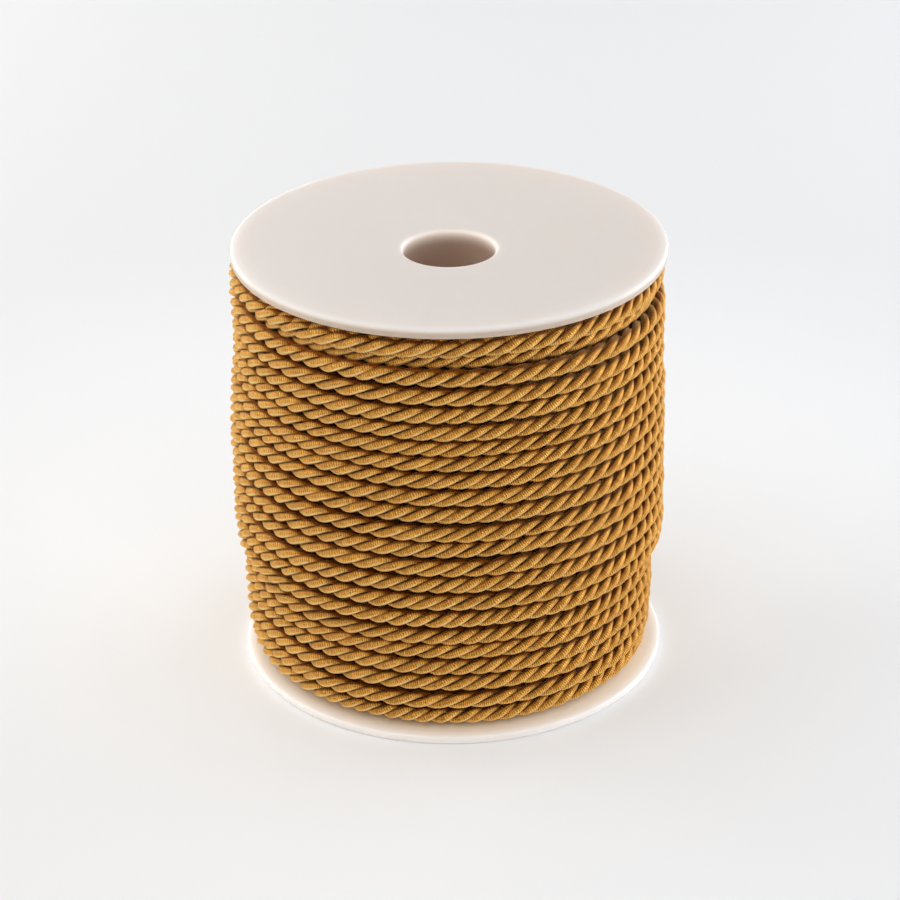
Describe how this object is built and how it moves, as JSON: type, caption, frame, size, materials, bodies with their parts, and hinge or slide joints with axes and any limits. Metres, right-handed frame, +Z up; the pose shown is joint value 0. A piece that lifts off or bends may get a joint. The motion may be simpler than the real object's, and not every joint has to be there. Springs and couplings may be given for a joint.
{
  "type": "twisted cord on spool",
  "caption": "Twisted cord wound in close turns between the round flanges of a plain plastic spool, with a bore right through for a spindle.",
  "frame": {"origin": "centre of the lower flange's underside, on the spool's axis", "axes": "+Z up along the spool's axis, with the side that the picture shows towards -Y"},
  "size_m": [0.0714, 0.0712, 0.073],
  "materials": {
    "spool_plastic": "satin, slightly translucent",
    "gold_cord": "satin twisted yarn"
  },
  "bodies": {
    "root": {"flange_bottom": "spool_plastic", "flange_top": "spool_plastic", "barrel": "spool_plastic", "winding": "gold_cord"}
  },
  "joints": []
}
